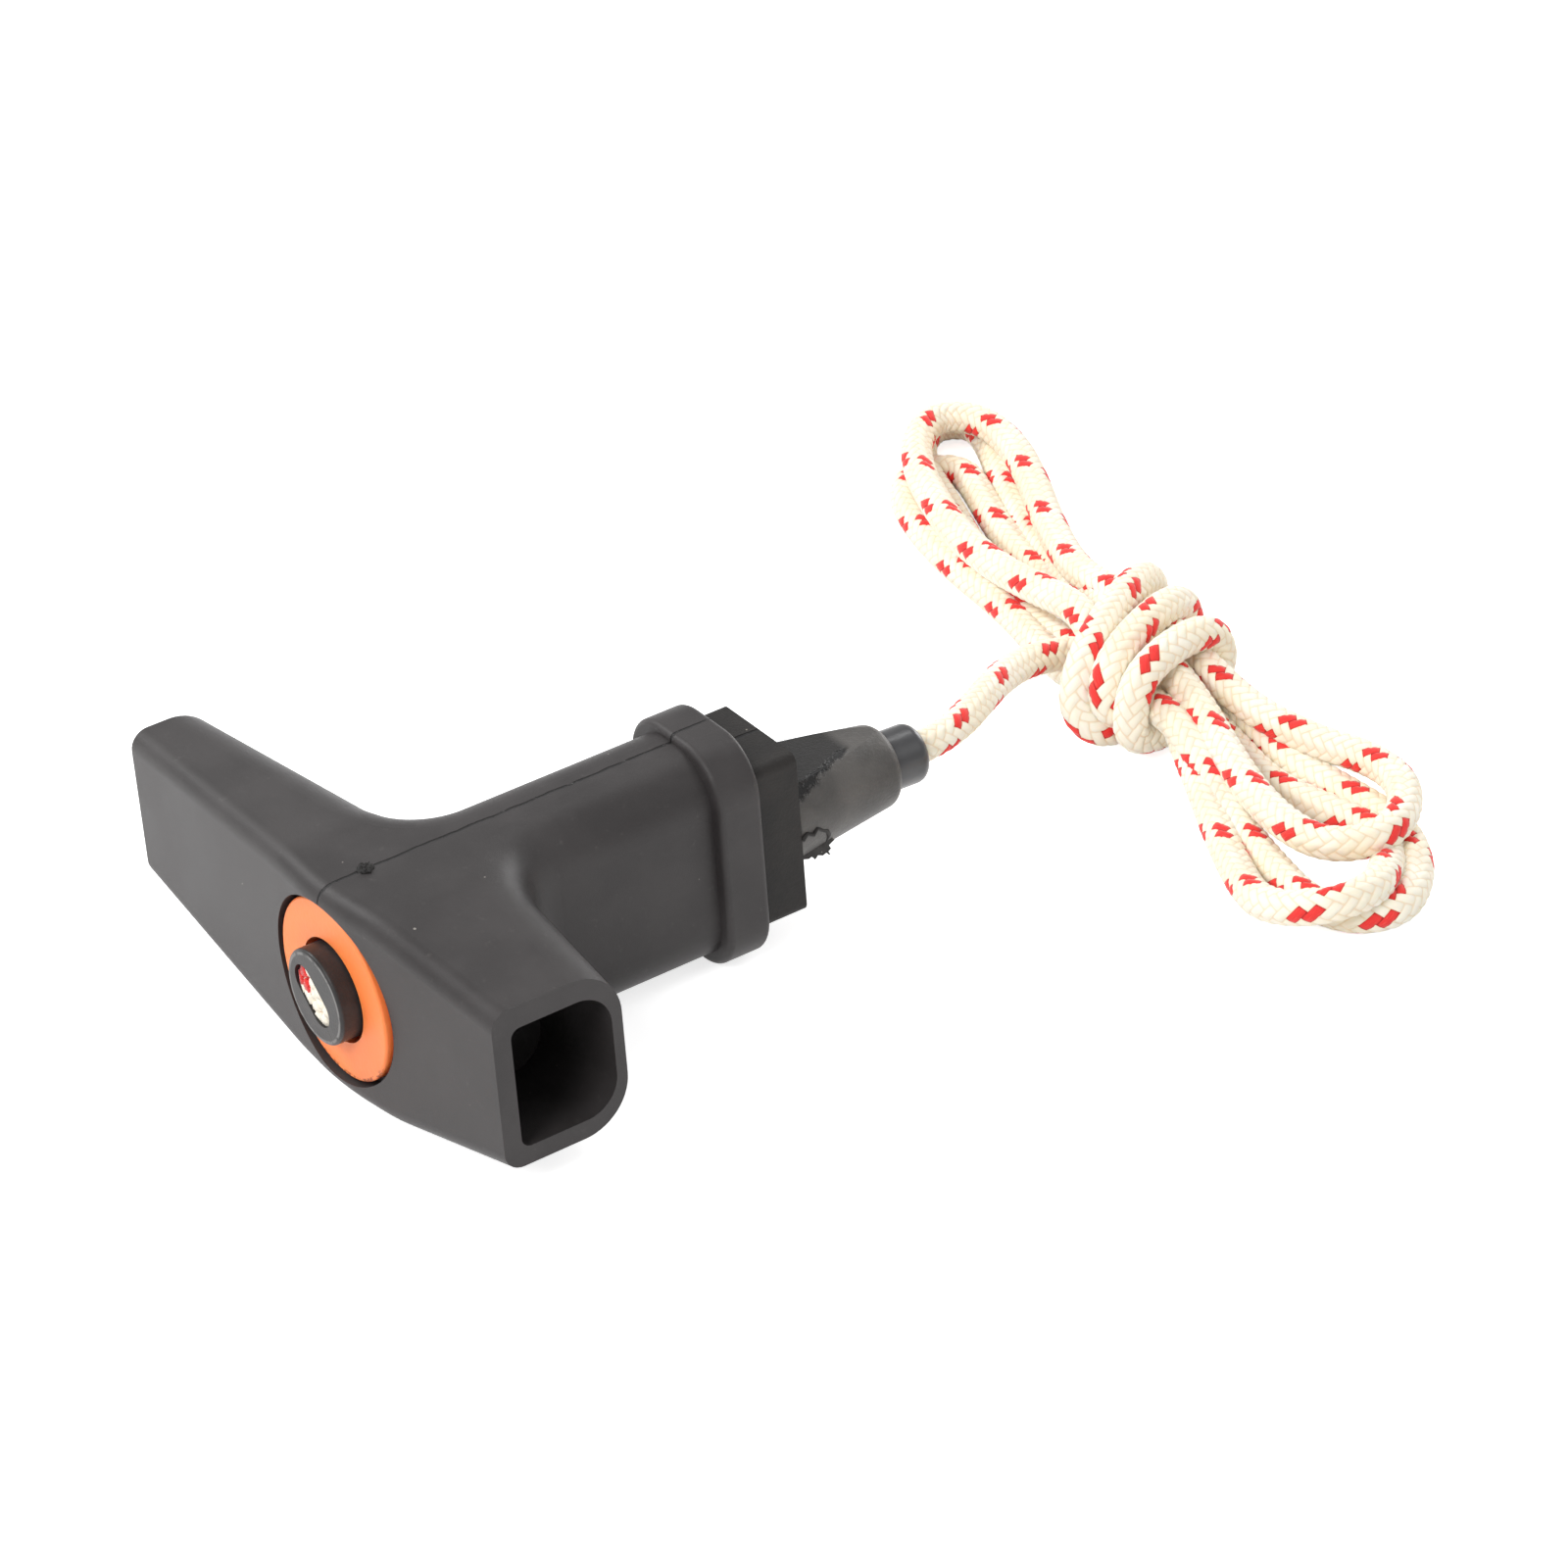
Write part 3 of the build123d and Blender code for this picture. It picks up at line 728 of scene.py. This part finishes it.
def braid_height(turn, along):
    """How far the yarn on top stands out of the rope, from 0 to 1."""
    falling, rising = turn + along, turn - along
    falling_part, rising_part = falling % 1, rising % 1
    order = (np.floor(falling) + np.floor(rising)) % 4
    on_top = order < 1.5
    length = np.where(on_top, order + rising_part, order - 2 + falling_part) / 2
    width = np.where(on_top, falling_part, rising_part)
    return (1 - np.abs(2 * width - 1) ** 2.5) * (1 - np.abs(2 * length - 1) ** 4)


def rope_swelling(reach):
    """How much thicker the rope is at each distance along it than on its free stretch."""
    knot_start = reach[-1] - KNOT_LENGTH
    hank = HANK_SWELL * np.clip((reach - HANK_START) / HANK_GROWTH, 0, 1)
    knot = KNOT_SWELL * np.clip((reach - knot_start) / KNOT_GROWTH, 0, 1)
    return 1 + hank + knot


def build_rope(route):
    """A braided tube along the route, with its length and turn kept for the finish."""
    line, length = smooth_line(route)
    count = len(line)
    swelling = rope_swelling(np.linspace(0.0, length / MM, count))
    tangents = directions(line)
    turns = np.arange(ROPE_SIDES) / ROPE_SIDES
    cosines = np.cos(2 * np.pi * turns)[:, None]
    sines = np.sin(2 * np.pi * turns)[:, None]
    side = np.cross(tangents[0], (0.0, 0.0, 1.0))
    vertices = []
    for index, (point, tangent) in enumerate(zip(line, tangents)):
        side = side - tangent * side.dot(tangent)
        side /= np.linalg.norm(side)
        up = np.cross(tangent, side)
        dip = BRAID_DEPTH * (1 - braid_height(turns * YARNS, index * ROPE_STEP / STITCH))
        radius = MM * (ROPE_DIAMETER / 2 * swelling[index] - dip)
        ring = point + radius[:, None] * (cosines * side + sines * up)
        ring[:, 2] = np.maximum(ring[:, 2], LOWEST * MM)
        vertices.extend(ring)
    rope = add_mesh("starter_rope", vertices, tube_faces(0, count, ROPE_SIDES))
    layer = rope.data.uv_layers.new(name="braid")
    for face in rope.data.polygons[:-2]:
        index, k = divmod(face.index, ROPE_SIDES)
        corners = ((k, index), (k + 1, index), (k + 1, index + 1), (k, index + 1))
        for corner, (step, ring) in zip(face.loop_indices, corners):
            layer.data[corner].uv = (step / ROPE_SIDES, ring * ROPE_STEP / STITCH)
    return rope, [tuple(point) for point in line], length


def build_rope_end():
    """The rope's cut end in the plug: bunched yarns, a few of them red, and loose fibres."""
    low, high = (np.array(corner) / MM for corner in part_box("rope_end"))
    front, back = low[0], high[0]
    middle = (low + high) / 2
    chance = np.random.default_rng(7)
    yarns = {"cream": ([], []), "red": ([], [])}
    places = [(0.0, 0.0)]
    for count, reach in END_RINGS:
        for k in range(count):
            angle = 2 * math.pi * k / count + END_TWIST * reach
            places.append((reach * math.cos(angle), reach * math.sin(angle)))
    share = np.linspace(0.0, 1.0, len(END_RADII))
    spread = np.linspace(*END_SPREAD, len(END_RADII))
    for index, (aside, up) in enumerate(places):
        colour = "red" if index in END_RED else "cream"
        tip = front + chance.uniform(*END_TIP)
        lean = chance.uniform(*END_LEAN, 2)
        girth = chance.uniform(*END_GIRTH)
        line = np.stack([
            np.linspace(back - END_ROOT, tip, len(END_RADII)),
            middle[1] + aside * spread + lean[0] * share,
            middle[2] + up * spread + lean[1] * share,
        ], axis=1)
        add_tube(*yarns[colour], line * MM, girth * MM * np.array(END_RADII), END_SIDES)
    for index in range(FIBRES):
        angle = chance.uniform(0, 2 * math.pi)
        reach = FIBRE_REACH * math.sqrt(chance.uniform(0, 1))
        start = np.array([
            front + FIBRE_ROOT,
            middle[1] + reach * math.cos(angle),
            middle[2] + reach * math.sin(angle),
        ])
        lean = chance.normal(0, FIBRE_LEAN, 3)
        tip = start + np.array([-chance.uniform(*FIBRE_LENGTH), lean[1], lean[2]])
        tip[0] = max(tip[0], front + FIBRE_FRONT)
        bow = (start + tip) / 2 + chance.normal(0, FIBRE_BOW, 3) * (0, 1, 1)
        colour = "red" if index % FIBRE_RED == 0 else "cream"
        line = np.array([start, bow, tip])
        add_tube(*yarns[colour], line * MM, MM * np.array(FIBRE_RADII), FIBRE_SIDES)
    for vertices, _ in yarns.values():
        for vertex in vertices:
            vertex[0] = max(vertex[0], (front + END_FRONT) * MM)
    cream = yarn_finish("cut_yarn", ROPE_CREAM, ROPE_PALE)
    bundle = add_piece("rope_end_cream", *yarns["cream"], "rope", "rope", cream)
    # Painted shade: the red ends' darker stripes between filaments use the rope's crease-shade red
    red = yarn_finish("cut_yarn_red", RED_CREASE_SHADE, RED)
    add_piece("rope_end_red", *yarns["red"], "rope", "rope", red)
    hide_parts("rope_end")


def build_gate_mark():
    """The rough stub of the mould's gate, on top of the grip near the front."""
    chance = np.random.default_rng(3)
    vertices = []
    for ring in range(GATE_RINGS):
        reach = GATE_RADIUS * (1 - ring / GATE_RINGS)
        for k in range(GATE_SIDES):
            angle = 2 * math.pi * k / GATE_SIDES
            rough = reach * (1 + chance.uniform(*GATE_STRAY))
            level = GATE_FOOT if ring == 0 else GATE_LEVEL + chance.uniform(*GATE_RISE)
            vertices.append((
                (GATE_X + rough * math.cos(angle)) * MM,
                (AXIS_Y + rough * math.sin(angle)) * MM,
                (GATE_Z + level) * MM,
            ))
    faces = tube_faces(0, GATE_RINGS, GATE_SIDES)
    finish = moulded("gate_black", linear(14, 13, 13), linear(58, 56, 55), rough=0.6, grain=9.0)
    add_piece("gate_mark", vertices, faces, "handle", "grip_plastic", finish)


def build_flash():
    """Torn flash of rubber where the cone's underside meets the block."""
    chance = np.random.default_rng(11)
    count = len(FLASH_OUTLINE)
    vertices = []
    for offset in (-FLASH_HALF, FLASH_HALF):
        for x, z in FLASH_OUTLINE:
            ragged = chance.uniform(*FLASH_STRAY, 2)
            y = FLASH_Y + offset + FLASH_TILT * (x - FLASH_MIDDLE)
            vertices.append(((x + ragged[0]) * MM, y * MM, (z + ragged[1]) * MM))
    faces = [tuple(range(count)), tuple(reversed(range(count, 2 * count)))]
    for k in range(count):
        after = (k + 1) % count
        faces.append((k, count + k, count + after, after))
    line = [tuple((c + chance.uniform(*RIDGE_STRAY)) * MM for c in point) for point in FLASH_RIDGE]
    radii = [chance.uniform(*RIDGE_RADII) * MM for _ in FLASH_RIDGE]
    add_tube(vertices, faces, line, radii, RIDGE_SIDES)
    finish = moulded(
        "flash_black", linear(30, 28, 27), linear(46, 43, 41), rough=0.6, grain=4.0, dust=0.08,
    )
    add_piece("torn_flash", vertices, faces, "handle", "nose_rubber", finish)


def add_camera():
    camera = bpy.data.objects.new("camera", bpy.data.cameras.new("camera"))
    bpy.context.collection.objects.link(camera)
    azimuth, elevation = math.radians(CAMERA_AZIMUTH), math.radians(CAMERA_ELEVATION)
    right = Vector((math.cos(azimuth), -math.sin(azimuth), 0.0))
    ahead = Vector((
        math.sin(azimuth) * math.cos(elevation),
        math.cos(azimuth) * math.cos(elevation),
        -math.sin(elevation),
    ))
    turn = Matrix((right, right.cross(ahead), -ahead)).transposed()
    roll = Matrix.Rotation(math.radians(-CAMERA_ROLL), 3, "Z")
    camera.matrix_world = Matrix.Translation(Vector(CAMERA_PLACE) * MM) @ (turn @ roll).to_4x4()
    camera.data.lens = CAMERA_LENS
    camera.data.sensor_width = CAMERA_SENSOR
    camera.data.clip_start = 0.01
    bpy.context.scene.camera = camera


def add_lamp(name, place, target, size, power):
    data = bpy.data.lights.new(name, "AREA")
    data.shape = "DISK"
    data.size = size
    data.energy = power
    lamp = bpy.data.objects.new(name, data)
    bpy.context.collection.objects.link(lamp)
    aim = (Vector(target) - Vector(place)).to_track_quat("-Z", "Y")
    lamp.matrix_world = Matrix.Translation(Vector(place)) @ aim.to_matrix().to_4x4()


def background_rays(nodes, links):
    """1 for the rays that show the background: seen straight, mirrored or through something."""
    path = nodes.new("ShaderNodeLightPath")
    seen = path.outputs["Is Camera Ray"]
    for ray in ("Is Glossy Ray", "Is Transmission Ray"):
        either = nodes.new("ShaderNodeMath")
        either.operation = "MAXIMUM"
        links.new(seen, either.inputs[0])
        links.new(path.outputs[ray], either.inputs[1])
        seen = either.outputs[0]
    return seen


def add_world():
    """A plain white dome that lights the object, and is brighter where it is seen or mirrored."""
    world = bpy.data.worlds.new("studio")
    bpy.context.scene.world = world
    world.use_nodes = True
    nodes, links = world.node_tree.nodes, world.node_tree.links
    dome = nodes["Background"]
    dome.inputs["Color"].default_value = WHITE
    dome.inputs["Strength"].default_value = WORLD_STRENGTH
    white = nodes.new("ShaderNodeBackground")
    white.inputs["Color"].default_value = WHITE
    white.inputs["Strength"].default_value = WORLD_SEEN
    mix = nodes.new("ShaderNodeMixShader")
    links.new(background_rays(nodes, links), mix.inputs[0])
    links.new(dome.outputs[0], mix.inputs[1])
    links.new(white.outputs[0], mix.inputs[2])
    links.new(mix.outputs[0], nodes["World Output"].inputs["Surface"])


def add_floor():
    """A white floor that keeps the object's shadow."""
    reach = FLOOR_REACH
    corners = [(-reach, -reach, 0.0), (reach, -reach, 0.0), (reach, reach, 0.0), (-reach, reach, 0.0)]
    floor = add_mesh("floor", corners, [(0, 1, 2, 3)])
    shader = Shader("floor")
    shader.finish(Base_Color=FLOOR_GREY, Roughness=0.9, Specular_IOR_Level=0.1)
    glow = shader.node("ShaderNodeEmission")
    glow.inputs["Color"].default_value = WHITE
    lift = shader.math("MULTIPLY", background_rays(shader.nodes, shader.links), FLOOR_LIFT)
    shader.put(glow.inputs["Strength"], lift)
    both = shader.node("ShaderNodeAddShader")
    shader.put(both.inputs[0], shader.surface.outputs[0])
    shader.put(both.inputs[1], glow.outputs[0])
    shader.put(shader.output.inputs["Surface"], both.outputs[0])
    set_finish(floor, shader.material)


bpy.context.scene.view_settings.view_transform = "Standard"
add_camera()
add_world()
add_floor()
for lamp in LAMPS:
    add_lamp(*lamp)

route = (
    LEAD_ROUTE + LOWER_FIRST + UPPER_FIRST + LOWER_SECOND + UPPER_SECOND + LOWER_THIRD + UPPER_THIRD
    + wrap_route() + TUCK
)
rope, rope_line, rope_length = build_rope(route)
set_finish(rope, rope_finish())
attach(rope, "rope")
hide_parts("rope_lead", "rope_hank")

finishes = {
    "grip": moulded(
        "grip_black", linear(50, 47, 47), linear(60, 57, 57), rough=0.46, grain=6.0, seam=AXIS_Z,
    ),
    "guide_ring": ring_finish(),
    "rope_anchor": plug_finish(),
    "damper_sleeve": moulded(
        "damper_black", linear(30, 30, 30), linear(38, 38, 38), rough=0.6, grain=3.0,
    ),
    "nose_guide": nose_finish(),
    "nose_bush": moulded(
        "bush_black", linear(42, 42, 44), linear(56, 56, 58), rough=0.28, grain=1.0, shine=BUSH_SHINE,
    ),
    "rope_end": yarn_finish("rope_end_white", ROPE_CREAM, ROPE_PALE),
}
for name, finish in finishes.items():
    set_finish(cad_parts[name], finish)
build_rope_end()
build_gate_mark()
build_flash()
